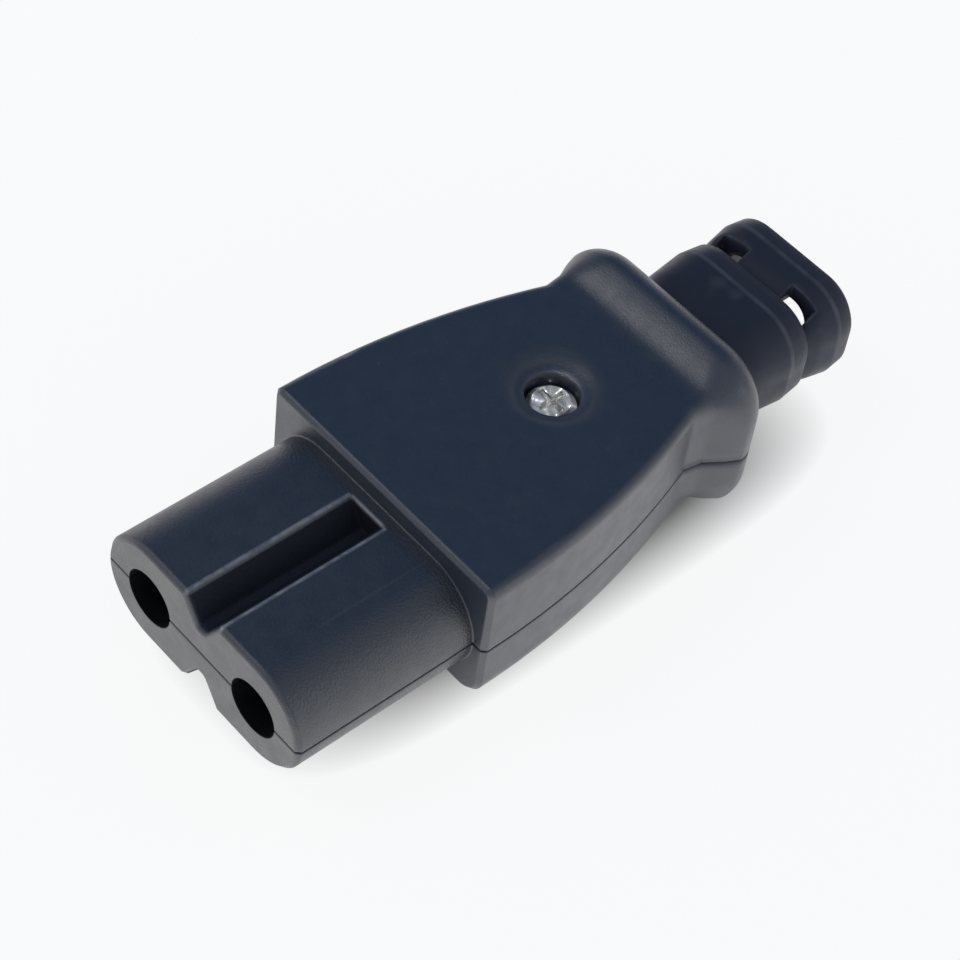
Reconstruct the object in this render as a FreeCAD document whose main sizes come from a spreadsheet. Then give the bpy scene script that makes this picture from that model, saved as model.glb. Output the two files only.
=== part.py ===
import FreeCAD, Part
import math
import os
from types import SimpleNamespace

import Sketcher
from FreeCAD import Placement, Rotation, Vector

# Rewireable figure-eight power connector: two moulded shells held by one screw, a pair of brass
# contacts with terminal screws, and a soft oval boot for the cord.
#
# Design frame, in millimetres: the mating face of the nose lies at y = 0, the cord leaves towards +Y,
# +X is the right-hand side seen from the cord, and the shells part at z = 0. Each finished piece is
# then placed so that the connector lies with its lowest point at z = 0 and its middle at x = y = 0.

DIMENSIONS = {
    # Nose that goes into the appliance inlet
    "pin_pitch": 8.6,
    "pin_hole_radius": 1.7,
    "nose_half_width": 7.92,
    "nose_half_height": 3.52,
    "nose_length": 11.45,
    "nose_edge_chamfer": 0.25,
    "groove_end_wall": 0.8,
    "groove_half_width": 1.35,
    "groove_root_half_width": 0.25,
    "groove_root_height": 1.85,
    "groove_lip_radius": 0.35,
    "groove_root_radius": 0.25,
    # Body of the two shells, from the shoulder behind the nose into the collar
    "front_half_width": 8.78,
    "rear_half_width": 5.65,
    "body_length": 18.05,
    "side_radius": 50.0,
    "height_above_seam": 4.8,
    "depth_below_seam": 4.2,
    "underside_rise": 0.6,
    "top_edge_radius": 0.6,
    "bottom_edge_radius": 1.5,
    "front_edge_chamfer": 0.25,
    "wall": 1.5,
    "front_wall": 1.5,
    "seam_gap": 0.16,
    # Collar round the cord entry, which flares from the waist of the body
    "flare_overlap": 1.3,
    "flare_length": 3.3,
    "collar_length": 1.7,
    "collar_end_radius": 1.65,
    "waist_half_width": 6.1,
    "collar_axis_height": 0.35,
    "collar_half_width": 7.4,
    "collar_half_height": 5.65,
    "collar_corner": 3.5,
    # Screw that holds the shells together
    "screw_setback": 12.1,
    "screw_shank_radius": 1.0,
    "screw_head_radius": 1.42,
    "screw_head_height": 1.2,
    "screw_head_dome": 0.35,
    "screw_head_depth": 1.25,
    "screw_tip_height": 0.8,
    "screw_end_cover": 1.0,
    "screw_clearance": 0.15,
    "thread_clearance": 0.02,
    "recess_wing_length": 0.9,
    "recess_wing_width": 0.36,
    "recess_depth": 0.75,
    "dish_rim_radius": 2.65,
    "dish_floor_radius": 1.6,
    "dish_rim_chamfer": 0.4,
    "boss_radius": 2.7,
    # Brass contacts and their terminals
    "contact_recess": 2.6,
    "contact_bore_radius": 1.2,
    "contact_bore_length": 9.6,
    "contact_wall": 0.42,
    "contact_slit_width": 0.5,
    "contact_slit_length": 6.5,
    "terminal_width": 4.4,
    "terminal_length": 5.6,
    "terminal_height": 4.4,
    "terminal_clearance": 0.05,
    "wire_hole_radius": 1.1,
    "wire_hole_length": 4.6,
    "terminal_screw_radius": 0.95,
    "terminal_screw_reach": 1.5,
    "terminal_screw_setback": 2.6,
    "terminal_head_radius": 1.5,
    "terminal_head_height": 0.9,
    "terminal_slot_width": 0.5,
    "terminal_slot_depth": 0.45,
    # Ribs inside the shells
    "rib_thickness": 1.2,
    "wire_notch_drop": 0.2,
    "grip_rib_setback": 3.5,
    "grip_rib_spacing": 2.2,
    "cord_height": 3.4,
    "grip_squeeze": 0.2,
    # Soft cord boot
    "boot_axis_height": 0.45,
    "boot_clearance": 0.08,
    "flange_setback": 3.3,
    "flange_thickness": 1.2,
    "flange_half_width": 5.2,
    "flange_half_height": 3.6,
    "neck_half_width": 4.2,
    "neck_half_height": 2.65,
    "boot_corner": 1.9,
    "ring_swell": 0.8,
    "rim_swell": 0.64,
    "collar_to_ring": 0.2,
    "first_bell_length": 4.3,
    "first_rim_length": 1.35,
    "end_bell_length": 2.5,
    "end_rim_length": 1.35,
    "boot_end_chamfer": 0.3,
    "passage_half_width": 3.15,
    "passage_half_height": 2.25,
    "passage_corner": 1.2,
    "mouth_flare": 0.3,
    "slot_width": 1.4,
    "slot_inner_edge": 1.7,
    "slot_outer_edge": 3.7,
}

# Stations of the collar's flare: place between its start and crest, and size between waist and crest.
FLARE_PROFILE = (
    (0.0, -0.08),
    (0.42, 0.12),
    (0.76, 0.68),
    (1.0, 1.0),
)

# Stations of a boot ring: place between its start and crest, and share of its swell.
BELL_PROFILE = (
    (0.0, 0.0),
    (0.45, 0.68),
    (1.0, 1.0),
)

# Two places closer than this, in millimetres, count as one.
TOLERANCE = 1e-4


class Size:
    """A length that carries its number together with its expression in the sheet."""

    def __init__(self, value, text):
        self.value = value
        self.text = text

    def __add__(self, other):
        other = as_size(other)
        return Size(self.value + other.value, f"({self.text} + {other.text})")

    def __sub__(self, other):
        other = as_size(other)
        return Size(self.value - other.value, f"({self.text} - {other.text})")

    def __mul__(self, factor):
        return Size(self.value * factor, f"({self.text} * {factor})")

    def __truediv__(self, divisor):
        return Size(self.value / divisor, f"({self.text} / {divisor})")

    def __neg__(self):
        return Size(-self.value, f"(-{self.text})")


def as_size(length):
    """A plain number as a Size; a Size as it is."""
    if isinstance(length, Size):
        return length
    return Size(length, str(length))


def between(low, high, share):
    """The size that lies a given share of the way from one size to another."""
    return low + (high - low) * share


doc = FreeCAD.newDocument("figure_eight_connector")
sheet = doc.addObject("Spreadsheet::Sheet", "Dims")
for row, (name, value) in enumerate(DIMENSIONS.items(), start=1):
    sheet.set(f"A{row}", name)
    sheet.set(f"B{row}", str(value))
    sheet.setAlias(f"B{row}", name)
doc.recompute()
dim = SimpleNamespace(**{name: Size(value, f"Dims.{name}") for name, value in DIMENSIONS.items()})
ZERO = as_size(0.0)


def bind(item, path, size):
    """Tie one property of an object to the sheet."""
    item.setExpression(path, size.text)


def place(item, x, y, z):
    """Tie an object's position to the sheet."""
    for axis, size in zip("xyz", (x, y, z)):
        bind(item, f"Placement.Base.{axis}", as_size(size))


# Sketches and features of a body


def new_body(name):
    return doc.addObject("PartDesign::Body", name)


def new_sketch(body, name, role, offset=ZERO):
    """A sketch on one of the body's own origin planes, moved along that plane's normal."""
    sketch = body.newObject("Sketcher::SketchObject", name)
    plane = next(item for item in body.Origin.OriginFeatures if item.Role == role)
    sketch.AttachmentSupport = (plane, "")
    sketch.MapMode = "FlatFace"
    bind(sketch, "AttachmentOffset.Base.z", offset)
    return sketch


def cross_sketch(body, name, station):
    """A sketch across the connector's length; its own x and y are the connector's x and z."""
    return new_sketch(body, name, "XZ_Plane", -station)


def hold(sketch, kind, references, size):
    """Add a constraint whose value comes from the sheet."""
    index = sketch.addConstraint(Sketcher.Constraint(kind, *references, size.value))
    bind(sketch, f"Constraints[{index}]", size)


def arc_between(start, end, radius):
    """The minor arc that runs anticlockwise from start to end."""
    chord = end - start
    rise = math.sqrt(max(radius ** 2 - chord.Length ** 2 / 4, 0.0))
    left = Vector(-chord.y, chord.x, 0).normalize()
    centre = (start + end) / 2 + left * rise
    angles = [math.atan2(point.y - centre.y, point.x - centre.x) for point in (start, end)]
    return Part.ArcOfCircle(Part.Circle(centre, Vector(0, 0, 1), radius), *angles)


def draw_outline(sketch, vertices):
    """Draw a closed anticlockwise outline.

    Each vertex gives its x, its y and the radius of the arc that leaves it, or None for a straight line.
    """
    count = len(vertices)
    for index, (x, y, radius) in enumerate(vertices):
        next_x, next_y, _ = vertices[(index + 1) % count]
        start = Vector(x.value, y.value, 0)
        end = Vector(next_x.value, next_y.value, 0)
        if radius is None:
            sketch.addGeometry(Part.LineSegment(start, end), False)
        else:
            sketch.addGeometry(arc_between(start, end, radius.value), False)
    for index, (x, y, radius) in enumerate(vertices):
        sketch.addConstraint(Sketcher.Constraint("Coincident", index, 2, (index + 1) % count, 1))
        hold(sketch, "DistanceX", (-1, 1, index, 1), x)
        hold(sketch, "DistanceY", (-1, 1, index, 1), y)
        if radius is not None:
            hold(sketch, "Radius", (index,), radius)


def draw_rounded_rectangle(sketch, half_width, low, high, low_corner, high_corner):
    """Draw a rectangle about the local y axis, with corner arcs of one radius below and one above."""
    inner_low = half_width - low_corner
    inner_high = half_width - high_corner
    draw_outline(sketch, (
        (inner_low, low, low_corner),
        (half_width, low + low_corner, None),
        (half_width, high - high_corner, high_corner),
        (inner_high, high, None),
        (-inner_high, high, high_corner),
        (-half_width, high - high_corner, None),
        (-half_width, low + low_corner, low_corner),
        (-inner_low, low, None),
    ))


def draw_circles(sketch, centres, radius):
    """Draw equal circles whose centres lie on the local x axis."""
    for index, x in enumerate(centres):
        sketch.addGeometry(Part.Circle(Vector(x.value, 0, 0), Vector(0, 0, 1), radius.value), False)
        sketch.addConstraint(Sketcher.Constraint("PointOnObject", index, 3, -1))
        hold(sketch, "DistanceX", (-1, 1, index, 3), x)
        hold(sketch, "Radius", (index,), radius)


def add_feature(body, kind, name, sketch, length, turned=False):
    """A pad or pocket of a sketch; a turned one runs the other way."""
    feature = body.newObject(f"PartDesign::{kind}", name)
    feature.Profile = sketch
    bind(feature, "Length", length)
    feature.Reversed = turned
    doc.recompute()
    return feature


def add_loft(body, name, sketches):
    """A solid through a row of sketches, with straight flanks from each to the next."""
    loft = body.newObject("PartDesign::AdditiveLoft", name)
    loft.Profile = sketches[0]
    loft.Sections = sketches[1:]
    loft.Ruled = True
    doc.recompute()
    return loft


def dress_edges(body, kind, name, size, wanted):
    """A fillet or chamfer on every edge of the body that passes the test."""
    base = body.Tip
    edges = [f"Edge{index}" for index, edge in enumerate(base.Shape.Edges, start=1) if wanted(edge)]
    feature = body.newObject(f"PartDesign::{kind}", name)
    feature.Base = (base, edges)
    bind(feature, "Radius" if kind == "Fillet" else "Size", size)
    doc.recompute()
    return feature


def near(first, second):
    return abs(first - second) < TOLERANCE


def level_edge(edge, height):
    """Whether an edge lies flat at the given height."""
    return near(edge.BoundBox.ZMin, height.value) and near(edge.BoundBox.ZMax, height.value)


def cross_edge(edge, station):
    """Whether an edge lies in the plane across the connector at the given station."""
    return near(edge.BoundBox.YMin, station.value) and near(edge.BoundBox.YMax, station.value)


# Solids and the ways they are combined


def box(name, x_span, y_span, z_span):
    """A box given by its two ends along each axis."""
    item = doc.addObject("Part::Box", name)
    for path, (low, high) in zip(("Length", "Width", "Height"), (x_span, y_span, z_span)):
        bind(item, path, high - low)
    place(item, x_span[0], y_span[0], z_span[0])
    return item


def upright_cylinder(name, radius, x, y, z_span):
    item = doc.addObject("Part::Cylinder", name)
    bind(item, "Radius", radius)
    bind(item, "Height", z_span[1] - z_span[0])
    place(item, x, y, z_span[0])
    return item


def long_cylinder(name, radius, x, z, y_span):
    """A cylinder along the connector's length."""
    item = doc.addObject("Part::Cylinder", name)
    item.Placement = Placement(Vector(), Rotation(Vector(1, 0, 0), -90))
    bind(item, "Radius", radius)
    bind(item, "Height", y_span[1] - y_span[0])
    place(item, x, y_span[0], z)
    return item


def join(name, items):
    joined = doc.addObject("Part::MultiFuse", name)
    joined.Shapes = items
    return joined


def cut(name, base, tools):
    item = doc.addObject("Part::Cut", name)
    item.Base = base
    item.Tool = tools[0] if len(tools) == 1 else join(f"{name}_tools", tools)
    return item


def overlap(name, first, second):
    item = doc.addObject("Part::Common", name)
    item.Base = first
    item.Tool = second
    return item


# Places shared by several pieces
pin_offset = dim.pin_pitch / 2
roof = dim.height_above_seam - dim.wall
floor = dim.wall - dim.depth_below_seam
cavity_front = dim.nose_length + dim.front_wall
groove_length = dim.nose_length - dim.groove_end_wall
body_rear = dim.nose_length + dim.body_length
flare_start = body_rear - dim.flare_overlap
collar_crest = flare_start + dim.flare_length
collar_end = collar_crest + dim.collar_length
flange_start = collar_end - dim.flange_setback
flange_end = flange_start + dim.flange_thickness
grip_start = flange_start - dim.grip_rib_setback
first_ring_start = collar_end + dim.collar_to_ring
first_ring_crest = first_ring_start + dim.first_bell_length
first_ring_end = first_ring_crest + dim.first_rim_length
end_ring_crest = first_ring_end + dim.end_bell_length
boot_end = end_ring_crest + dim.end_rim_length
screw_station = dim.nose_length + dim.screw_setback
head_top = dim.height_above_seam - dim.screw_head_depth
head_seat = head_top - dim.screw_head_height
screw_end = dim.screw_end_cover - dim.depth_below_seam
half_gap = dim.seam_gap / 2
terminal_front = cavity_front + dim.terminal_clearance
terminal_rear = terminal_front + dim.terminal_length
terminal_top = dim.terminal_height / 2
waist_floor = dim.underside_rise - dim.depth_below_seam
lowest = dim.collar_axis_height - dim.collar_half_height


def draw_body_plan(sketch, inset, front, rear):
    """The shells' plan: widest at the nose, with bowed sides that narrow towards the cord."""
    front_x = dim.front_half_width - inset
    rear_x = dim.rear_half_width - inset
    bow = dim.side_radius - inset
    draw_outline(sketch, (
        (front_x, front, bow),
        (rear_x, rear, None),
        (-rear_x, rear, bow),
        (-front_x, front, None),
    ))


def collar_section(body, station, swell):
    """One section of the collar, given its share of the way from the waist's size to the crest's."""
    section = cross_sketch(body, "collar_section", station)
    draw_rounded_rectangle(
        section,
        between(dim.waist_half_width, dim.collar_half_width, swell),
        between(waist_floor, lowest, swell),
        between(dim.height_above_seam, dim.collar_axis_height + dim.collar_half_height, swell),
        between(dim.bottom_edge_radius, dim.collar_corner, swell),
        between(dim.top_edge_radius, dim.collar_corner, swell),
    )
    return section


def shell_form():
    """The outside of both shells together, with the two pin holes through the nose."""
    body = new_body("shell_form")
    plan = new_sketch(body, "body_plan", "XY_Plane", -dim.depth_below_seam)
    draw_body_plan(plan, ZERO, dim.nose_length, body_rear)
    add_feature(body, "Pad", "body_block", plan, dim.height_above_seam + dim.depth_below_seam)

    def side_edge(height):
        return lambda edge: level_edge(edge, height) and edge.BoundBox.YLength > dim.wall.value

    dress_edges(body, "Fillet", "bottom_edges", dim.bottom_edge_radius, side_edge(-dim.depth_below_seam))
    dress_edges(body, "Fillet", "top_edges", dim.top_edge_radius, side_edge(dim.height_above_seam))
    dress_edges(body, "Chamfer", "front_edges", dim.front_edge_chamfer,
                lambda edge: cross_edge(edge, dim.nose_length))
    slope = new_sketch(body, "underside_slope", "YZ_Plane", -dim.front_half_width)
    draw_outline(slope, (
        (dim.nose_length, -dim.depth_below_seam, None),
        (body_rear, -dim.depth_below_seam, None),
        (body_rear, waist_floor, None),
    ))
    add_feature(body, "Pocket", "underside", slope, dim.front_half_width * 2, turned=True)

    add_loft(body, "collar_flare", [
        collar_section(body, between(flare_start, collar_crest, along), swell)
        for along, swell in FLARE_PROFILE
    ])
    crest = collar_section(body, collar_crest, 1.0)
    add_feature(body, "Pad", "collar", crest, dim.collar_length, turned=True)
    dress_edges(body, "Fillet", "collar_end_edge", dim.collar_end_radius,
                lambda edge: cross_edge(edge, collar_end))

    dish = body.newObject("PartDesign::SubtractiveCone", "screw_dish")
    bind(dish, "Radius1", dim.dish_floor_radius)
    bind(dish, "Radius2", dim.dish_rim_radius)
    bind(dish, "Height", dim.screw_head_depth)
    place(dish, 0.0, screw_station, head_top)
    doc.recompute()
    dress_edges(body, "Chamfer", "dish_rim", dim.dish_rim_chamfer,
                lambda edge: level_edge(edge, dim.height_above_seam) and isinstance(edge.Curve, Part.Circle)
                and near(edge.Curve.Radius, dim.dish_rim_radius.value))

    lobe_radius = dim.nose_half_height
    lobe = dim.nose_half_width - lobe_radius
    right_lobe = (
        (lobe, -lobe_radius, lobe_radius),
        (dim.nose_half_width, ZERO, lobe_radius),
        (lobe, lobe_radius, None),
    )
    top_groove = (
        (dim.groove_half_width, dim.nose_half_height, None),
        (dim.groove_root_half_width, dim.groove_root_height, None),
        (-dim.groove_root_half_width, dim.groove_root_height, None),
        (-dim.groove_half_width, dim.nose_half_height, None),
    )
    left_lobe = tuple((-x, -y, radius) for x, y, radius in right_lobe)
    bottom_groove = tuple((-x, -y, radius) for x, y, radius in top_groove)
    eight = cross_sketch(body, "nose_eight", ZERO)
    draw_outline(eight, right_lobe + top_groove + left_lobe + bottom_groove)
    add_feature(body, "Pad", "nose", eight, groove_length, turned=True)
    oval = cross_sketch(body, "nose_oval", groove_length)
    draw_outline(oval, right_lobe + left_lobe)
    add_feature(body, "Pad", "nose_root", oval, dim.groove_end_wall + dim.front_wall / 2, turned=True)

    def groove_edge(x, z):
        def matches(edge):
            reach = edge.BoundBox
            inside = near(reach.YMin, 0.0) and near(reach.YMax, groove_length.value)
            return inside and near(abs(reach.Center.x), x.value) and near(abs(reach.Center.z), z.value)
        return matches

    dress_edges(body, "Fillet", "groove_lips", dim.groove_lip_radius,
                groove_edge(dim.groove_half_width, dim.nose_half_height))
    dress_edges(body, "Fillet", "groove_roots", dim.groove_root_radius,
                groove_edge(dim.groove_root_half_width, dim.groove_root_height))
    dress_edges(body, "Chamfer", "nose_edge", dim.nose_edge_chamfer, lambda edge: cross_edge(edge, ZERO))

    holes = cross_sketch(body, "pin_holes", ZERO)
    draw_circles(holes, (-pin_offset, pin_offset), dim.pin_hole_radius)
    add_feature(body, "Pocket", "pin_hole_cut", holes, cavity_front)
    return body


def draw_boot_section(sketch, half_width, half_height, corner):
    draw_rounded_rectangle(sketch, half_width, dim.boot_axis_height - half_height,
                           dim.boot_axis_height + half_height, corner, corner)


def shell_cavity():
    """The hollow of both shells together: wiring space, seat of the boot's flange and its way out."""
    body = new_body("shell_cavity")
    plan = new_sketch(body, "cavity_plan", "XY_Plane", floor)
    draw_body_plan(plan, dim.wall, cavity_front, flange_start)
    add_feature(body, "Pad", "wiring_space", plan, roof - floor)
    seat = cross_sketch(body, "flange_seat_outline", flange_start)
    draw_boot_section(seat, dim.flange_half_width + dim.boot_clearance,
                      dim.flange_half_height + dim.boot_clearance, dim.boot_corner)
    add_feature(body, "Pad", "flange_seat", seat, dim.flange_thickness, turned=True)
    way_out = cross_sketch(body, "way_out_outline", flange_end)
    draw_boot_section(way_out, dim.neck_half_width + dim.boot_clearance,
                      dim.neck_half_height + dim.boot_clearance, dim.boot_corner)
    add_feature(body, "Pad", "way_out", way_out, boot_end - flange_end, turned=True)
    return body


def grip_rib(name, station, z_span):
    """A rib across the cord's path that presses on its sheath; as wide as the boot's flange."""
    return box(name, (-dim.flange_half_width, dim.flange_half_width),
               (station, station + dim.rib_thickness), z_span)


def half_space(name, z_span):
    """A box that takes in everything on one side of the seam."""
    reach = dim.front_half_width + dim.wall
    return box(name, (-reach, reach), (-dim.wall, boot_end + dim.wall), z_span)


def upper_shell(hollow):
    """The shell that takes the screw's head."""
    half = overlap("upper_half", hollow, half_space("above_seam", (half_gap, dim.collar_half_height * 2)))
    boss = upright_cylinder("upper_boss", dim.boss_radius, 0.0, screw_station,
                            (half_gap, roof + dim.wall / 2))
    rib = grip_rib("upper_grip_rib", grip_start + dim.grip_rib_spacing / 2,
                   (dim.boot_axis_height + dim.cord_height / 2 - dim.grip_squeeze, roof + dim.wall / 2))
    head_bore = upright_cylinder("screw_head_bore", dim.screw_head_radius + dim.screw_clearance, 0.0,
                                 screw_station, (head_seat, dim.height_above_seam))
    shank_bore = upright_cylinder("screw_shank_bore", dim.screw_shank_radius + dim.screw_clearance, 0.0,
                                  screw_station, (-dim.wall, dim.height_above_seam))
    return cut("upper_shell", join("upper_solids", [half, boss, rib]), [head_bore, shank_bore])


def lower_shell(hollow):
    """The shell with the screw's pilot boss, the contact seats and two grip ribs."""
    half = overlap("lower_half", hollow, half_space("below_seam", (-dim.collar_half_height * 2, -half_gap)))
    solids = [half]
    foot = floor - dim.wall / 3
    solids.append(upright_cylinder("lower_boss", dim.boss_radius, 0.0, screw_station, (foot, -half_gap)))
    for number in range(2):
        station = grip_start + dim.grip_rib_spacing * number
        solids.append(grip_rib(f"lower_grip_rib_{number + 1}", station,
                               (foot, dim.boot_axis_height - dim.cord_height / 2 + dim.grip_squeeze)))
    for side, direction in (("left", -1), ("right", 1)):
        middle = pin_offset * direction
        half_width = dim.terminal_width / 2
        across = (middle - half_width, middle + half_width)
        solids.append(box(f"{side}_terminal_seat", across, (terminal_front, terminal_rear),
                          (foot, -terminal_top)))
        solids.append(box(f"{side}_terminal_stop", across,
                          (terminal_rear + dim.terminal_clearance,
                           terminal_rear + dim.terminal_clearance + dim.rib_thickness),
                          (foot, -dim.wire_hole_radius - dim.wire_notch_drop)))
    pilot = upright_cylinder("screw_pilot", dim.screw_shank_radius + dim.thread_clearance, 0.0,
                             screw_station, (screw_end, dim.wall))
    return cut("lower_shell", join("lower_solids", solids), [pilot])


def case_screw():
    """Pan-head screw with a cross recess, turned from one profile."""
    body = new_body("case_screw")
    profile = new_sketch(body, "screw_profile", "XZ_Plane")
    shoulder = head_top - dim.screw_head_dome
    draw_outline(profile, (
        (ZERO, screw_end, None),
        (dim.screw_shank_radius, screw_end + dim.screw_tip_height, None),
        (dim.screw_shank_radius, head_seat, None),
        (dim.screw_head_radius, head_seat, None),
        (dim.screw_head_radius, shoulder, None),
        (dim.screw_head_radius - dim.screw_head_dome, head_top, None),
        (ZERO, head_top, None),
    ))
    turned = body.newObject("PartDesign::Revolution", "screw_turning")
    turned.Profile = profile
    turned.ReferenceAxis = (profile, ["V_Axis"])
    turned.Angle = 360.0
    recess = new_sketch(body, "cross_recess_outline", "XY_Plane", head_top)
    wing = dim.recess_wing_length
    half = dim.recess_wing_width / 2
    draw_outline(recess, tuple((x, y, None) for x, y in (
        (wing, -half), (wing, half), (half, half), (half, wing), (-half, wing), (-half, half),
        (-wing, half), (-wing, -half), (-half, -half), (-half, -wing), (half, -wing), (half, -half),
    )))
    add_feature(body, "Pocket", "cross_recess", recess, dim.recess_depth)
    return body


def contact(side, direction):
    """Brass contact: a split sleeve for the inlet pin, and a terminal block for the wire."""
    middle = pin_offset * direction
    sleeve_radius = dim.contact_bore_radius + dim.contact_wall
    sleeve = long_cylinder(f"{side}_sleeve", sleeve_radius, middle, ZERO,
                           (dim.contact_recess, terminal_front))
    half_width = dim.terminal_width / 2
    block = box(f"{side}_block", (middle - half_width, middle + half_width),
                (terminal_front, terminal_rear), (-terminal_top, terminal_top))
    bore = long_cylinder(f"{side}_pin_bore", dim.contact_bore_radius, middle, ZERO,
                         (dim.contact_recess, dim.contact_recess + dim.contact_bore_length))
    half_slit = dim.contact_slit_width / 2
    slit = box(f"{side}_slit", (middle - half_slit, middle + half_slit),
               (dim.contact_recess, dim.contact_recess + dim.contact_slit_length),
               (ZERO, sleeve_radius * 2))
    wire_hole = long_cylinder(f"{side}_wire_hole", dim.wire_hole_radius, middle, ZERO,
                              (terminal_rear - dim.wire_hole_length, terminal_rear))
    screw_hole = upright_cylinder(f"{side}_screw_hole", dim.terminal_screw_radius + dim.thread_clearance,
                                  middle, terminal_rear - dim.terminal_screw_setback, (ZERO, terminal_top))
    brass = join(f"{side}_brass", [sleeve, block])
    return cut(f"{side}_contact", brass, [bore, slit, wire_hole, screw_hole])


def terminal_screw(side, direction):
    """Slotted screw that clamps the wire, driven home on the terminal block."""
    middle = pin_offset * direction
    station = terminal_rear - dim.terminal_screw_setback
    head_end = terminal_top + dim.terminal_head_height
    shank = upright_cylinder(f"{side}_terminal_shank", dim.terminal_screw_radius, middle, station,
                             (terminal_top - dim.terminal_screw_reach, head_end))
    head = upright_cylinder(f"{side}_terminal_head", dim.terminal_head_radius, middle, station,
                            (terminal_top, head_end))
    half_slot = dim.terminal_slot_width / 2
    slot = box(f"{side}_terminal_slot", (middle - half_slot, middle + half_slot),
               (station - dim.terminal_head_radius, station + dim.terminal_head_radius),
               (head_end - dim.terminal_slot_depth, head_end))
    return cut(f"{side}_terminal_screw", join(f"{side}_terminal_solids", [shank, head]), [slot])


def ring_section(body, name, station, swell):
    """A section of a boot ring: the neck's outline, grown evenly."""
    section = cross_sketch(body, name, station)
    draw_boot_section(section, dim.neck_half_width + swell, dim.neck_half_height + swell,
                      dim.boot_corner + swell)
    return section


def boot_ring(body, name, start, crest, end):
    """One bell-shaped ring of the boot: it swells from the neck to a crest, then draws in to its rim."""
    add_loft(body, f"{name}_bell", [
        ring_section(body, f"{name}_section", between(start, crest, along), dim.ring_swell * share)
        for along, share in BELL_PROFILE
    ])
    add_loft(body, f"{name}_band", [
        ring_section(body, f"{name}_crest", crest, dim.ring_swell),
        ring_section(body, f"{name}_rim", end, dim.rim_swell),
    ])


def strain_relief():
    """Soft oval boot: a flange held in the collar, two rings, and slots that let it flex."""
    body = new_body("boot_form")
    front = flange_start + dim.boot_clearance
    flange = cross_sketch(body, "flange_outline", front)
    draw_boot_section(flange, dim.flange_half_width, dim.flange_half_height, dim.boot_corner)
    add_feature(body, "Pad", "flange", flange, dim.flange_thickness - dim.boot_clearance * 2, turned=True)
    neck = cross_sketch(body, "neck_outline", front)
    draw_boot_section(neck, dim.neck_half_width, dim.neck_half_height, dim.boot_corner)
    add_feature(body, "Pad", "neck", neck, end_ring_crest - front, turned=True)
    boot_ring(body, "first_ring", first_ring_start, first_ring_crest, first_ring_end)
    boot_ring(body, "end_ring", first_ring_end, end_ring_crest, boot_end)
    dress_edges(body, "Chamfer", "boot_end_edge", dim.boot_end_chamfer,
                lambda edge: cross_edge(edge, boot_end))
    passage = cross_sketch(body, "passage_outline", flange_start)
    draw_boot_section(passage, dim.passage_half_width, dim.passage_half_height, dim.passage_corner)
    add_feature(body, "Pocket", "cord_passage", passage, boot_end - flange_start)

    def mouth_edge(edge):
        centre = edge.BoundBox.Center
        across = abs(centre.x) < dim.passage_half_width.value + TOLERANCE
        upright = abs(centre.z - dim.boot_axis_height.value) < dim.passage_half_height.value + TOLERANCE
        return cross_edge(edge, boot_end) and across and upright

    dress_edges(body, "Chamfer", "mouth", dim.mouth_flare, mouth_edge)
    slots = []
    rim = (dim.neck_half_height + dim.ring_swell) * 2
    for side, direction in (("left", -1), ("right", 1)):
        ends = [dim.slot_inner_edge * direction, dim.slot_outer_edge * direction]
        slots.append(box(f"{side}_flex_slot", ends[::direction],
                         (first_ring_end, first_ring_end + dim.slot_width), (-rim, rim)))
    return cut("strain_relief", body, slots)


hollow_form = cut("hollow_form", shell_form(), [shell_cavity()])
nodes = {
    "upper_shell": upper_shell(hollow_form),
    "lower_shell": lower_shell(hollow_form),
    "case_screw": case_screw(),
    "strain_relief": strain_relief(),
}
for side, direction in (("left", -1), ("right", 1)):
    nodes[f"{side}_contact"] = contact(side, direction)
    nodes[f"{side}_terminal_screw"] = terminal_screw(side, direction)

# Every piece shares one placement, apart from the case screw, which was turned about its own axis.
for label, node in nodes.items():
    node.Label = label
    along = screw_station if label == "case_screw" else ZERO
    place(node, 0.0, along - boot_end / 2, -lowest)
doc.recompute()

for item in doc.Objects:
    if "Invalid" in item.State or "Error" in item.State:
        raise RuntimeError(f"{item.Label} failed to build: {item.State}")
for label, node in nodes.items():
    if node.Shape.isNull() or not node.Shape.isValid() or len(node.Shape.Solids) != 1:
        raise RuntimeError(f"{label} is not one sound solid")

os.makedirs("parts", exist_ok=True)
for label, node in nodes.items():
    node.Shape.exportStep(f"parts/{label}.step")
    print(label, round(node.Shape.Volume, 2), len(node.Shape.Faces))
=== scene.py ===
import math

import bpy
from mathutils import Matrix, Vector


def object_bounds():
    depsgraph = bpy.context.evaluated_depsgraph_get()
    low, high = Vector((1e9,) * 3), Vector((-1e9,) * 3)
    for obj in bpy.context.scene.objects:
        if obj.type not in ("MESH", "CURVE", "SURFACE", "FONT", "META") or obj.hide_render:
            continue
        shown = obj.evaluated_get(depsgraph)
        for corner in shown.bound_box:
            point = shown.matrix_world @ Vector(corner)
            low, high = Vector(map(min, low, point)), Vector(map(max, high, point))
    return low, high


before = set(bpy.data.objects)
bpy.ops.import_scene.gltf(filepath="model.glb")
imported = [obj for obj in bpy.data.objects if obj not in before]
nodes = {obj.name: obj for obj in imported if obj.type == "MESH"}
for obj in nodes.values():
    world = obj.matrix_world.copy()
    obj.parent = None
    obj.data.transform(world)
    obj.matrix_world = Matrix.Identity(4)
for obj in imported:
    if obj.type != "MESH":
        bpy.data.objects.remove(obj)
cad_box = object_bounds()

MM = 0.001
STRAIGHT_UP = (0.0, 0.0, 1.0)

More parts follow.
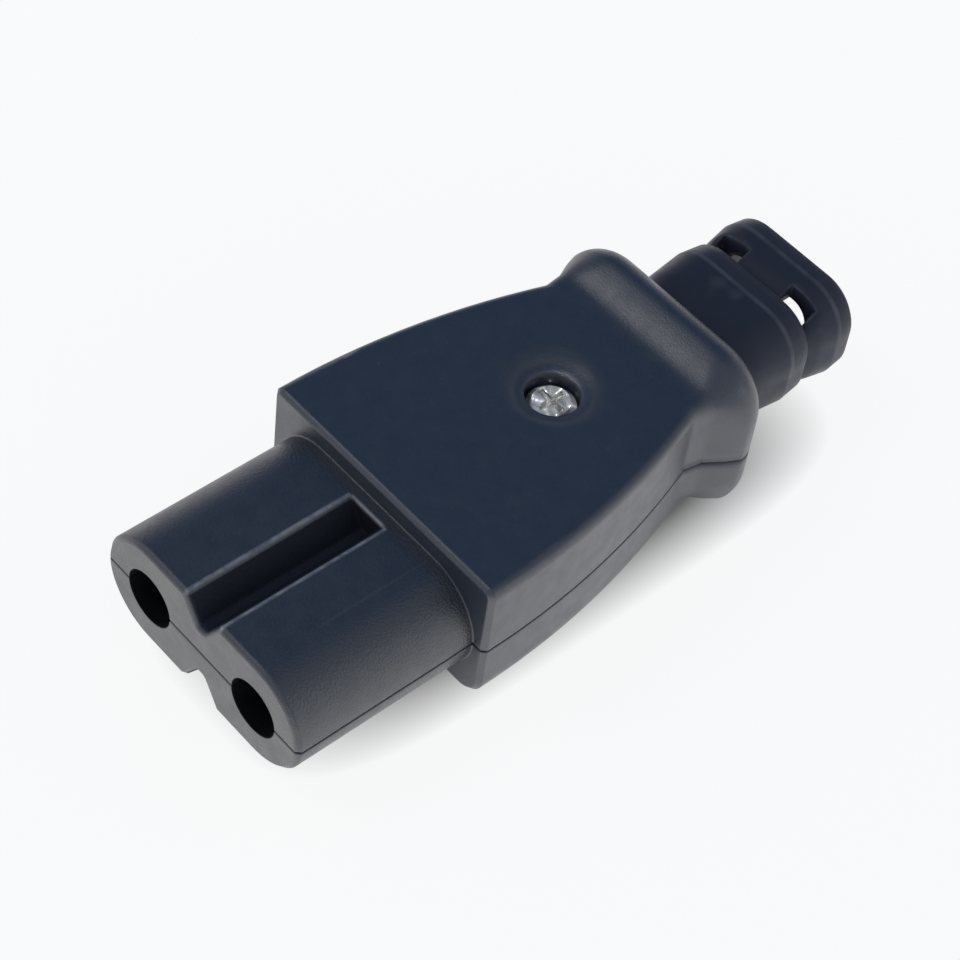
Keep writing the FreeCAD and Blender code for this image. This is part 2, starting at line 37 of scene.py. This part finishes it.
# Places on the part, in metres; the lip's height is from the seam
MATING_FACE = -21.35 * MM
MOULD_LINE_START = -18.0 * MM
GROOVE_END = -10.8 * MM
NOSE_END = -10.0 * MM
SCREW_STATION = 2.1 * MM
FLARE_START = 6.7 * MM
BOOT_CRESTS = (16.25 * MM, 20.1 * MM)
GROOVE_LIP = 1.45 * MM
LIP_HEIGHT = 3.3 * MM
PIN_OFFSET = 4.3 * MM
PIN_HOLE_RADIUS = 1.7 * MM
SEAM_HEIGHT = 5.3 * MM
DISH_FLOOR = 9.0 * MM
DISH_REACH = 3.3 * MM
HEAD_BORE_RADIUS = 1.55 * MM

# Widths of marks and of the fades beside them, in metres
FADE = 0.1 * MM
LONG_FADE = 1.0 * MM
HOLE_FADE = 0.03 * MM
GROOVE_WALL_INSET = 0.2 * MM
# Painted highlight: pale lines along the groove lips and at the grooves' ends
LIP_HIGHLIGHT_HALF_WIDTH = 0.05 * MM
LIP_HIGHLIGHT_FADE = 0.11 * MM
END_HIGHLIGHT_OFFSET = 0.06 * MM
END_HIGHLIGHT_FADE = 0.3 * MM
MOULD_LINE_HALF_WIDTH = 0.03 * MM
MOULD_LINE_FADE = 0.06 * MM
CREST_HALF_WIDTH = 0.06 * MM
CREST_FADE = 0.16 * MM
DISH_FADE = 0.5 * MM

# Softened edges: radii in metres, and the cosines between the softened and the true normal
# on a plain face and on an edge
SHELL_EDGE = 0.2 * MM
DISH_EDGE = 0.55 * MM
FLARE_EDGE = 0.75 * MM
BOOT_EDGE = 0.8 * MM
WORN_AND_HIGHLIT_EDGE = 0.3 * MM
SCREW_EDGE = 0.12 * MM
EDGE_SAMPLES = 8
EDGE_MATCH = (0.99, 0.86)

# Noise textures: features per metre and levels of detail. For patches, the span of values that
# counts and the span that it gives; for relief, the strength and the depth in metres
SHELL_FLOW = dict(scale=260.0, detail=2.0)
SHELL_MOTTLE = dict(scale=6500.0, detail=2.0, span=(0.4, 0.7), gives=(0.0, 0.45))
SHELL_SPECKS = dict(scale=2600.0, detail=2.0, span=(0.7, 0.75), gives=(0.0, 0.6))
SHELL_ROUGHNESS = dict(scale=900.0, detail=4.0, span=(0.3, 0.7), gives=(0.3, 0.42))
SHELL_GRAIN = dict(scale=8000.0, detail=2.0)
SHELL_WAVES = dict(scale=420.0, detail=2.0, strength=0.05, depth=0.1 * MM)
# Painted reflection on the mating face, in soft patches
FACE_SHEEN_PATCHES = dict(scale=700.0, detail=4.0, span=(0.3, 0.7), gives=(0.5, 1.0))
# Painted highlight on the groove lips, broken into patches
LIP_HIGHLIGHT_PATCHES = dict(scale=1500.0, detail=2.0, span=(0.35, 0.6), gives=(0.45, 1.0))
BOOT_FLOW = dict(scale=350.0, detail=3.0)
BOOT_WEAR_AND_HIGHLIGHT = dict(scale=800.0, detail=3.0, span=(0.3, 0.7), gives=(0.2, 0.8))
# Painted reflection: pale patches on the boot
BOOT_REFLECTION_PATCHES = dict(scale=420.0, detail=1.0, span=(0.62, 0.72), gives=(0.0, 0.55))
BOOT_ROUGHNESS = dict(scale=1100.0, detail=3.0, span=(0.3, 0.7), gives=(0.34, 0.48))
BOOT_GRAIN = dict(scale=3000.0, detail=3.0, strength=0.25, depth=0.03 * MM)
BOOT_WAVES = dict(scale=450.0, detail=2.0, strength=0.15, depth=0.1 * MM)
# Painted highlight and rubs along the boot's crests
CREST_HIGHLIGHTS_AND_RUBS = dict(scale=900.0, detail=2.0, span=(0.35, 0.6), gives=(0.4, 0.9))
STEEL_PATCHES = dict(scale=1400.0, detail=4.0)
STEEL_DENTS = dict(scale=900.0, detail=0.5, strength=1.0, depth=2.0 * MM)
STEEL_GRAIN = dict(scale=5000.0, detail=3.0, strength=0.25, depth=0.02 * MM)
BRASS_TARNISH = dict(scale=700.0, detail=4.0)
BRASS_GRAIN = dict(scale=4200.0, detail=3.0, strength=0.2, depth=0.02 * MM)
NOISE_ROUGHNESS = 0.55

# Roughness of the metals, over the same span of their noise
METAL_SPAN = (0.3, 0.7)
STEEL_ROUGHNESS = (0.2, 0.38)
BRASS_ROUGHNESS = (0.24, 0.42)

# Relief that follows a mask
MASKED_GRAIN = dict(strength=0.6, depth=0.055 * MM)
MOULD_LINE = dict(strength=0.5, depth=0.03 * MM)

# How far a mask goes, from 0 to 1
MOULD_LINE_PALENESS = 0.5
# Painted shade over the nose
NOSE_PAINTED_SHADE = 0.35
NOSE_DULLING = 0.03
# Dulling and painted shade in the pin holes and the grooves
HOLE_DULLING_AND_SHADE = 0.9
GROOVE_DULLING_AND_SHADE = 0.7
BODY_GRAIN = 0.4
DISH_LEAN = 0.48

# Colours
SHELL_COLOURS = ((0.015, 0.023, 0.04), (0.0175, 0.0265, 0.045))
MOTTLE_COLOUR = (0.032, 0.04, 0.056)
PALE_MARK_COLOUR = (0.06, 0.065, 0.075)
# Painted shade on the nose
NOSE_PAINTED_SHADE_COLOUR = (0.004, 0.005, 0.008)
# Painted reflection: the mating face's paler grey
FACE_SHEEN_COLOUR = (0.08, 0.082, 0.086)
# Painted highlight on the groove lips
LIP_HIGHLIGHT_COLOUR = (0.27, 0.28, 0.3)
# Painted shade in the pin holes
PIN_HOLE_SHADE_COLOUR = (0.008, 0.013, 0.016)
BOOT_COLOURS = ((0.03, 0.036, 0.054), (0.039, 0.045, 0.065))
# Wear and painted highlight on the boot's edges
WORN_AND_HIGHLIT_EDGE_COLOUR = (0.13, 0.135, 0.15)
# Painted highlight and rubs on the boot's crests
CREST_HIGHLIGHT_AND_RUB_COLOUR = (0.1, 0.106, 0.128)
# Painted reflection on the boot
REFLECTION_PATCH_COLOUR = (0.085, 0.09, 0.11)
STEEL_COLOURS = ((0.86, 0.86, 0.83), (0.98, 0.98, 0.94))
BRASS_COLOURS = ((0.62, 0.44, 0.2), (0.82, 0.62, 0.31))
FLOOR_COLOUR = (0.2, 0.196, 0.188)
WHITE = (1.0, 1.0, 1.0)
HORIZON_COLOUR = (0.45, 0.47, 0.52)
SKY_COLOUR = (0.33, 0.36, 0.42)
DARK_SKY_COLOUR = (0.085, 0.14, 0.265)


# Node helpers


def new_material(name):
    """A node material, its node tree and its Principled shader."""
    material = bpy.data.materials.new(name)
    material.use_nodes = True
    tree = material.node_tree
    return material, tree, tree.nodes["Principled BSDF"]


def add_node(tree, kind, **settings):
    node = tree.nodes.new(kind)
    for key, value in settings.items():
        setattr(node, key, value)
    return node


def feed(tree, plug, value):
    """Link another node's socket to an input, or set the input to a plain value."""
    if isinstance(value, bpy.types.NodeSocket):
        tree.links.new(value, plug)
    elif plug.type == "RGBA":
        plug.default_value = (*value, 1.0)
    else:
        plug.default_value = value


def set_inputs(tree, node, **values):
    """Feed inputs by name, with _ for a space."""
    for key, value in values.items():
        feed(tree, node.inputs[key.replace("_", " ")], value)


def position(tree):
    """The surface point in the object's own metres."""
    return add_node(tree, "ShaderNodeTexCoord").outputs["Object"]


def parts_of(tree, vector):
    """The x, y and z of a vector."""
    node = add_node(tree, "ShaderNodeSeparateXYZ")
    feed(tree, node.inputs["Vector"], vector)
    return node.outputs["X"], node.outputs["Y"], node.outputs["Z"]


def maths(tree, operation, *values):
    """A sum on sockets and plain numbers."""
    node = add_node(tree, "ShaderNodeMath", operation=operation)
    for plug, value in zip(node.inputs, values):
        feed(tree, plug, value)
    return node.outputs["Value"]


def vector_maths(tree, operation, *vectors):
    node = add_node(tree, "ShaderNodeVectorMath", operation=operation)
    for plug, vector in zip(node.inputs, vectors):
        feed(tree, plug, vector)
    return node


def product(tree, *values):
    """All the values multiplied together."""
    total = values[0]
    for value in values[1:]:
        total = maths(tree, "MULTIPLY", total, value)
    return total


def distance(tree, first, second):
    """The length of a flat vector, from its two parts."""
    squares = [maths(tree, "MULTIPLY", part, part) for part in (first, second)]
    return maths(tree, "SQRT", maths(tree, "ADD", *squares))


def off(tree, value, centre):
    """How far a value is from a centre, either way."""
    return maths(tree, "ABSOLUTE", maths(tree, "SUBTRACT", value, centre))


def spread(tree, value, old_span, new_span=(0.0, 1.0)):
    """Map a value from one span to another, and hold it there."""
    node = add_node(tree, "ShaderNodeMapRange")
    set_inputs(tree, node, Value=value, From_Min=old_span[0], From_Max=old_span[1],
               To_Min=new_span[0], To_Max=new_span[1])
    return node.outputs["Result"]


def beyond(tree, value, start, fade):
    """0 up to a start, and 1 once past it by the fade; a negative fade looks the other way."""
    return spread(tree, value, (start, start + fade))


def stripe(tree, value, centre, half_width, fade):
    """1 within half a width of a centre line, fading to 0."""
    return beyond(tree, off(tree, value, centre), half_width + fade, -fade)


def noise(tree, point, scale, detail):
    node = add_node(tree, "ShaderNodeTexNoise")
    set_inputs(tree, node, Vector=point, Scale=scale, Detail=detail, Roughness=NOISE_ROUGHNESS)
    return node.outputs["Fac"]


def patches(tree, point, scale, detail, span, gives):
    """Soft patches of noise."""
    return spread(tree, noise(tree, point, scale, detail), span, gives)


def mix(tree, kind, share, first, second):
    """Blend two colours (kind RGBA) or two vectors (kind VECTOR) by a share from 0 to 1."""
    node = add_node(tree, "ShaderNodeMix", data_type=kind)
    feed(tree, node.inputs["Factor"], share)
    ends = [plug for plug in node.inputs if plug.name in ("A", "B") and plug.type == kind]
    for plug, value in zip(ends, (first, second)):
        feed(tree, plug, value)
    return next(plug for plug in node.outputs if plug.type == kind)


def layered(tree, colour, *layers):
    """Lay colours over a first one, each given as a share and a colour."""
    for share, top in layers:
        colour = mix(tree, "RGBA", share, colour, top)
    return colour


def soft_edges(tree, radius):
    """A normal that rounds every edge."""
    node = add_node(tree, "ShaderNodeBevel", samples=EDGE_SAMPLES)
    feed(tree, node.inputs["Radius"], radius)
    return node.outputs["Normal"]


def edge_share(tree, softened):
    """1 on edges and 0 on plain faces: how far the softened normal leaves the true one."""
    true_normal = add_node(tree, "ShaderNodeNewGeometry").outputs["Normal"]
    match = vector_maths(tree, "DOT_PRODUCT", softened, true_normal).outputs["Value"]
    return spread(tree, match, EDGE_MATCH)


def bump(tree, height, normal, strength, depth):
    """A normal with relief added; without a first normal, the surface's own is used."""
    node = add_node(tree, "ShaderNodeBump")
    set_inputs(tree, node, Height=height, Strength=strength, Distance=depth)
    if normal is not None:
        feed(tree, node.inputs["Normal"], normal)
    return node.outputs["Normal"]


def relief(tree, point, normal, scale, detail, strength, depth):
    """A normal with noise added as relief."""
    return bump(tree, noise(tree, point, scale, detail), normal, strength, depth)


# Features of the shells


def inside_pin_hole(tree, x, z, on_nose):
    """1 on the walls of the two pin holes, 0 elsewhere."""
    across = maths(tree, "SUBTRACT", maths(tree, "ABSOLUTE", x), PIN_OFFSET)
    away = distance(tree, across, maths(tree, "SUBTRACT", z, SEAM_HEIGHT))
    return product(tree, beyond(tree, away, PIN_HOLE_RADIUS + 2 * HOLE_FADE, -HOLE_FADE), on_nose)


def inside_groove(tree, x, y, z, on_nose):
    """1 on the walls of the nose's two grooves, 0 elsewhere."""
    return product(
        tree,
        stripe(tree, x, 0.0, GROOVE_LIP - GROOVE_WALL_INSET, FADE),
        stripe(tree, z, SEAM_HEIGHT, LIP_HEIGHT, FADE),
        on_nose,
        beyond(tree, y, MATING_FACE, FADE),
    )


def painted_lip_highlights(tree, point, on_nose):
    """Up to 1 along the lips of the nose's two grooves and at their ends: a painted highlight, pale lines where
    the lips' edges would catch the light.
    """
    x, y, z = parts_of(tree, point)
    across = maths(tree, "ABSOLUTE", x)
    beside = product(
        tree,
        stripe(tree, across, GROOVE_LIP, LIP_HIGHLIGHT_HALF_WIDTH, LIP_HIGHLIGHT_FADE),
        beyond(tree, y, GROOVE_END + FADE, -FADE),
    )
    behind = product(
        tree,
        stripe(tree, y, GROOVE_END + END_HIGHLIGHT_OFFSET, LIP_HIGHLIGHT_HALF_WIDTH, FADE),
        beyond(tree, across, GROOVE_LIP, -END_HIGHLIGHT_FADE),
    )
    outside = beyond(tree, off(tree, z, SEAM_HEIGHT), LIP_HEIGHT - FADE, 2 * FADE)
    highlight_patchiness = patches(tree, point, **LIP_HIGHLIGHT_PATCHES)
    return product(tree, maths(tree, "MAXIMUM", beside, behind), outside, highlight_patchiness, on_nose)


def painted_face_sheen(tree, point, y):
    """Up to 1 on the nose's mating face, in soft patches: a painted reflection that makes the face paler grey, as
    though it reflected the pale floor.
    """
    return product(tree, beyond(tree, y, MATING_FACE, -FADE / 2), patches(tree, point, **FACE_SHEEN_PATCHES))


def mould_line(tree, x, y, on_nose):
    """1 on the thin line that the mould left along the right-hand lobe of the nose."""
    line = stripe(tree, x, PIN_OFFSET, MOULD_LINE_HALF_WIDTH, MOULD_LINE_FADE)
    return product(tree, line, on_nose, beyond(tree, y, MOULD_LINE_START, LONG_FADE))


def from_screw(tree, x, y):
    """The distance from the case screw's axis."""
    return distance(tree, x, maths(tree, "SUBTRACT", y, SCREW_STATION))


def moulded_rounding(tree, x, y):
    """Edge radius in metres: large round the screw dish and on the collar's flare, small elsewhere."""
    dish = spread(tree, from_screw(tree, x, y), (DISH_REACH, DISH_REACH + LONG_FADE), (DISH_EDGE, 0.0))
    flare = spread(tree, y, (FLARE_START - LONG_FADE, FLARE_START), (0.0, FLARE_EDGE))
    return maths(tree, "ADD", maths(tree, "MAXIMUM", dish, flare), SHELL_EDGE)


def shallow_dish(tree, normal, x, y, z):
    """Turn the normal towards straight up in the screw dish, so that it reads as shallow as the real one."""
    away = from_screw(tree, x, y)
    share = product(
        tree,
        spread(tree, away, (HEAD_BORE_RADIUS, HEAD_BORE_RADIUS + FADE), (0.0, DISH_LEAN)),
        beyond(tree, away, DISH_REACH + DISH_FADE, -DISH_FADE),
        beyond(tree, z, DISH_FLOOR, FADE),
    )
    leaning = mix(tree, "VECTOR", share, normal, STRAIGHT_UP)
    return vector_maths(tree, "NORMALIZE", leaning).outputs["Vector"]


# Materials


def shell_plastic():
    """Black moulded plastic with a blue cast: satin grain, strongest on the nose, and specks; painted shade
    darkens the nose and the pin holes, and a painted highlight and a painted reflection pale the groove lips and
    the mating face.
    """
    material, tree, shader = new_material("shell_plastic")
    point = position(tree)
    x, y, z = parts_of(tree, point)
    on_nose = beyond(tree, y, NOSE_END, -FADE)
    hole = inside_pin_hole(tree, x, z, on_nose)
    groove = inside_groove(tree, x, y, z, on_nose)
    line = mould_line(tree, x, y, on_nose)

    colour = layered(
        tree,
        mix(tree, "RGBA", noise(tree, point, **SHELL_FLOW), *SHELL_COLOURS),
        (patches(tree, point, **SHELL_MOTTLE), MOTTLE_COLOUR),
        (patches(tree, point, **SHELL_SPECKS), PALE_MARK_COLOUR),
        (product(tree, line, MOULD_LINE_PALENESS), PALE_MARK_COLOUR),
        # Painted shade: the whole nose is darkened as though it were in shade
        (product(tree, on_nose, NOSE_PAINTED_SHADE), NOSE_PAINTED_SHADE_COLOUR),
        # Painted reflection: the mating face is paled in soft patches
        (painted_face_sheen(tree, point, y), FACE_SHEEN_COLOUR),
        # Painted highlight along the groove lips and their ends
        (painted_lip_highlights(tree, point, on_nose), LIP_HIGHLIGHT_COLOUR),
        # Painted shade: the pin holes' walls are painted near black
        (hole, PIN_HOLE_SHADE_COLOUR),
    )

    # Painted shade in the deep hollows: the pin holes are painted near black, and the holes and grooves are made
    # rough and dark metallic so that they reflect next to nothing, as though in shade
    dulled_and_shaded = maths(tree, "MAXIMUM", product(tree, hole, HOLE_DULLING_AND_SHADE), product(tree, groove, GROOVE_DULLING_AND_SHADE))
    roughness = maths(tree, "ADD", patches(tree, point, **SHELL_ROUGHNESS), product(tree, on_nose, NOSE_DULLING))

    grain = product(tree, noise(tree, point, **SHELL_GRAIN), spread(tree, on_nose, (0.0, 1.0), (BODY_GRAIN, 1.0)))
    normal = shallow_dish(tree, soft_edges(tree, moulded_rounding(tree, x, y)), x, y, z)
    normal = bump(tree, grain, normal, **MASKED_GRAIN)
    normal = relief(tree, point, normal, **SHELL_WAVES)
    normal = bump(tree, line, normal, **MOULD_LINE)

    set_inputs(tree, shader, Base_Color=colour, Roughness=maths(tree, "MAXIMUM", roughness, dulled_and_shaded), Metallic=dulled_and_shaded,
               IOR=1.6, Specular_IOR_Level=1.0, Normal=normal)
    return material


def boot_rubber():
    """Soft black moulding, a little duller than the shells, paler on its edges and crests with wear and painted
    highlights, and with pale patches of painted reflection.
    """
    material, tree, shader = new_material("boot_rubber")
    point = position(tree)
    _, y, _ = parts_of(tree, point)
    worn_and_highlit_edges = product(tree, edge_share(tree, soft_edges(tree, WORN_AND_HIGHLIT_EDGE)), patches(tree, point, **BOOT_WEAR_AND_HIGHLIGHT))
    crests = (stripe(tree, y, crest, CREST_HALF_WIDTH, CREST_FADE) for crest in BOOT_CRESTS)
    crest_highlights_and_rubs = product(tree, maths(tree, "ADD", *crests), patches(tree, point, **CREST_HIGHLIGHTS_AND_RUBS))
    colour = layered(
        tree,
        mix(tree, "RGBA", noise(tree, point, **BOOT_FLOW), *BOOT_COLOURS),
        # Wear and painted highlight: the boot's edges are paled
        (worn_and_highlit_edges, WORN_AND_HIGHLIT_EDGE_COLOUR),
        # Painted highlight and rubs: pale stripes along the boot's crests
        (crest_highlights_and_rubs, CREST_HIGHLIGHT_AND_RUB_COLOUR),
        # Painted reflection: pale patches of soft reflection on the boot
        (patches(tree, point, **BOOT_REFLECTION_PATCHES), REFLECTION_PATCH_COLOUR),
    )
    normal = relief(tree, point, soft_edges(tree, BOOT_EDGE), **BOOT_GRAIN)
    normal = relief(tree, point, normal, **BOOT_WAVES)
    set_inputs(tree, shader, Base_Color=colour, Roughness=patches(tree, point, **BOOT_ROUGHNESS),
               IOR=1.55, Specular_IOR_Level=0.22, Normal=normal)
    return material


def plated_steel():
    """Bright zinc plating: knocked uneven by the driver, with small dulled patches."""
    material, tree, shader = new_material("plated_steel")
    point = position(tree)
    dulled = noise(tree, point, **STEEL_PATCHES)
    normal = relief(tree, point, soft_edges(tree, SCREW_EDGE), **STEEL_DENTS)
    normal = relief(tree, point, normal, **STEEL_GRAIN)
    set_inputs(tree, shader, Base_Color=mix(tree, "RGBA", dulled, *STEEL_COLOURS), Metallic=0.55,
               Roughness=spread(tree, dulled, METAL_SPAN, STEEL_ROUGHNESS), Normal=normal)
    return material


def contact_brass():
    """Plain drawn brass with a slight tarnish."""
    material, tree, shader = new_material("contact_brass")
    point = position(tree)
    tarnish = noise(tree, point, **BRASS_TARNISH)
    set_inputs(tree, shader, Base_Color=mix(tree, "RGBA", tarnish, *BRASS_COLOURS), Metallic=1.0,
               Roughness=spread(tree, tarnish, METAL_SPAN, BRASS_ROUGHNESS),
               Normal=relief(tree, point, None, **BRASS_GRAIN))
    return material


def dress(material, *names):
    for name in names:
        mesh = nodes[name].data
        mesh.materials.clear()
        mesh.materials.append(material)


dress(shell_plastic(), "upper_shell", "lower_shell")
dress(boot_rubber(), "strain_relief")
dress(plated_steel(), "case_screw", "left_terminal_screw", "right_terminal_screw")
dress(contact_brass(), "left_contact", "right_contact")


# Floor: sizes in metres. Its glow grows over a span of the object's outline, which is a rounded
# oblong, so the floor is darker under and near the object, a painted shadow; the object's box is centred on the
# origin, so its far corner gives the half sizes

FLOOR_HALF_WIDTH = 30.0
FLOOR_GAP = 0.02 * MM
OUTLINE_POWER = 4.0
OUTLINE_SPAN = (0.6, 1.0)
GLOW_SPAN = (0.1, 0.88)


def pale_floor():
    """A white table that glows as a lit one does, and keeps the object's shadow; its glow is dimmed under and
    near the object, a painted shadow.
    """
    material, tree, shader = new_material("pale_floor")
    x, y, _ = parts_of(tree, position(tree))
    half_width, half_length, _ = cad_box[1]
    reach = [
        maths(tree, "POWER", maths(tree, "ABSOLUTE", maths(tree, "DIVIDE", place, half)), OUTLINE_POWER)
        for place, half in ((x, half_width), (y, half_length))
    ]
    outline = maths(tree, "POWER", maths(tree, "ADD", *reach), 1.0 / OUTLINE_POWER)
    # Painted shadow: the glow falls off towards the object's outline
    set_inputs(tree, shader, Base_Color=FLOOR_COLOUR, Roughness=0.9, Specular_IOR_Level=0.0,
               Emission_Color=WHITE, Emission_Strength=spread(tree, outline, OUTLINE_SPAN, GLOW_SPAN))
    return material


floor_mesh = bpy.data.meshes.new("floor")
floor_mesh.from_pydata(
    [(x * FLOOR_HALF_WIDTH, y * FLOOR_HALF_WIDTH, 0.0) for x, y in ((-1, -1), (1, -1), (1, 1), (-1, 1))],
    [],
    [(0, 1, 2, 3)],
)
floor_mesh.materials.append(pale_floor())
floor = bpy.data.objects.new("floor", floor_mesh)
bpy.context.scene.collection.objects.link(floor)
floor.location.z = cad_box[0][2] - FLOOR_GAP


# World: pale at the horizon, and darker and bluer towards one side of the ceiling

CLIMB_SPAN = (0.05, 0.6)
DARK_HEADING = (-0.438, 0.478, 0.761)
DARK_SPAN = (0.7, 0.94)


def studio_world():
    world = bpy.data.worlds.new("studio")
    world.use_nodes = True
    tree = world.node_tree
    heading = add_node(tree, "ShaderNodeTexCoord").outputs["Generated"]
    _, _, height = parts_of(tree, heading)
    towards_dark = vector_maths(tree, "DOT_PRODUCT", heading, DARK_HEADING).outputs["Value"]
    sky = layered(
        tree,
        mix(tree, "RGBA", spread(tree, height, CLIMB_SPAN), HORIZON_COLOUR, SKY_COLOUR),
        (spread(tree, towards_dark, DARK_SPAN), DARK_SKY_COLOUR),
    )
    set_inputs(tree, tree.nodes["Background"], Color=sky)
    return world


bpy.context.scene.world = studio_world()


# Lamps: places and sizes in millimetres, power in watts, angles in degrees

OBJECT_MIDDLE = (0.0, 0.0, 5.0)
SCREW_HEAD = (0.0, 2.1, 10.05)


def hang(data, place, target, power):
    """Put a lamp in its place, pointing at a target."""
    data.energy = power
    lamp = bpy.data.objects.new(data.name, data)
    lamp.location = Vector(place) * MM
    lamp.rotation_euler = (Vector(target) - Vector(place)).to_track_quat("-Z", "Y").to_euler()
    bpy.context.scene.collection.objects.link(lamp)


def soft_box(name, place, size, power):
    """A square area lamp that points at the middle of the object."""
    data = bpy.data.lights.new(name, "AREA")
    data.shape = "SQUARE"
    data.size = size * MM
    hang(data, place, OBJECT_MIDDLE, power)


def narrow_spot(name, place, target, angle, blend, radius, power):
    """A spot lamp on one small piece; the angle is its cone's full one, and the radius its source's."""
    data = bpy.data.lights.new(name, "SPOT")
    data.spot_size = math.radians(angle)
    data.spot_blend = blend
    data.shadow_soft_size = radius * MM
    hang(data, place, target, power)


soft_box("front_lamp", (-135.0, -140.0, 235.0), size=130.0, power=0.07)
soft_box("side_lamp", (330.0, 190.0, 130.0), size=200.0, power=0.06)
narrow_spot("screw_lamp", (-30.0, -20.0, 180.0), SCREW_HEAD, angle=1.1, blend=0.3, radius=0.6, power=0.48)


# Camera, fitted to the photograph: angles in degrees, lengths in millimetres

CAMERA_AZIMUTH = 42.56
CAMERA_ELEVATION = 49.57
CAMERA_ROLL = 8.38
CAMERA_DISTANCE = 144.72
CAMERA_AIM = (-0.25, -2.35, 5.1)
CLIP_START = 1.0
FOCAL_PIXELS = 2673.96
IMAGE_PIXELS = 960
SENSOR_WIDTH = 36.0

azimuth, elevation, roll = (math.radians(angle) for angle in (CAMERA_AZIMUTH, CAMERA_ELEVATION, CAMERA_ROLL))
backward = Vector((
    math.sin(azimuth) * math.cos(elevation),
    -math.cos(azimuth) * math.cos(elevation),
    math.sin(elevation),
))
right = (-backward).cross(Vector(STRAIGHT_UP)).normalized()
up = right.cross(-backward)
rolled_right = right * math.cos(roll) + up * math.sin(roll)
rolled_up = up * math.cos(roll) - right * math.sin(roll)
eye = (Vector(CAMERA_AIM) + backward * CAMERA_DISTANCE) * MM

camera_data = bpy.data.cameras.new("camera")
camera_data.sensor_width = SENSOR_WIDTH
camera_data.lens = FOCAL_PIXELS / IMAGE_PIXELS * SENSOR_WIDTH
camera_data.clip_start = CLIP_START * MM
camera = bpy.data.objects.new("camera", camera_data)
camera.matrix_world = Matrix((
    (rolled_right.x, rolled_up.x, backward.x, eye.x),
    (rolled_right.y, rolled_up.y, backward.y, eye.y),
    (rolled_right.z, rolled_up.z, backward.z, eye.z),
    (0.0, 0.0, 0.0, 1.0),
))
bpy.context.scene.collection.objects.link(camera)
bpy.context.scene.camera = camera
bpy.context.scene.view_settings.view_transform = "Standard"
